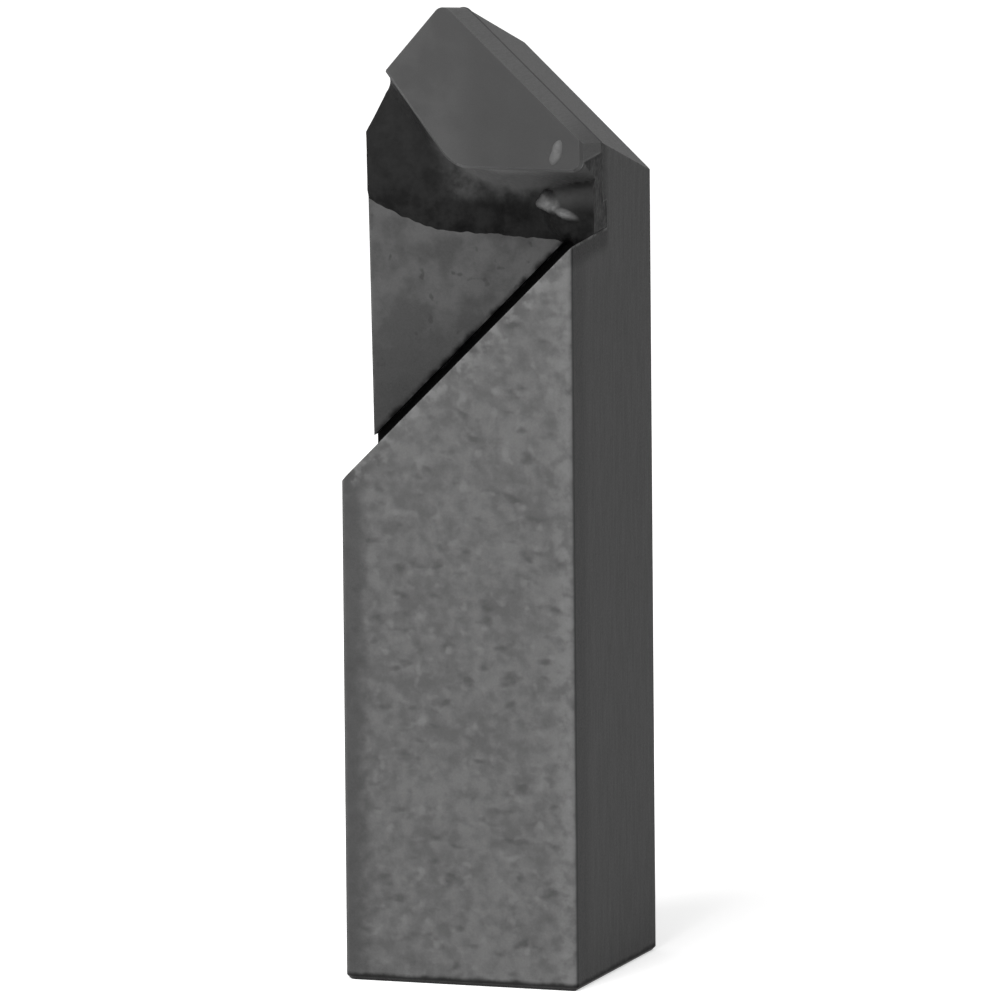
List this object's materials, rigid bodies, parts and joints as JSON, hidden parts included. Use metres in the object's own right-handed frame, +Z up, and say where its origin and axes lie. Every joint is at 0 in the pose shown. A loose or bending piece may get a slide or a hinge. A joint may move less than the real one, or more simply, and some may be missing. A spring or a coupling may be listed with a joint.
{
  "type": "boring tool bit",
  "caption": "Square-shank boring tool bit: a ground, pointed carbide tip brazed on a seat milled into the shank above a sloping shoulder.",
  "frame": {"origin": "middle of the square base end of the shank, on the surface it stands on", "axes": "+Z up along the shank to the nose, -Y out of the front with the rake face, +X across the bit to the trail edge's side"},
  "size_m": [0.0096, 0.0096, 0.0377],
  "materials": {
    "shank_steel": "dull blasted grey steel",
    "carbide": "smooth dull grey carbide, ground on the end",
    "braze": "scorched dark braze and flux, with bright beads"
  },
  "bodies": {
    "root": {"shank": "shank_steel", "carbide_tip": "carbide", "braze_joint": "braze"}
  },
  "joints": []
}
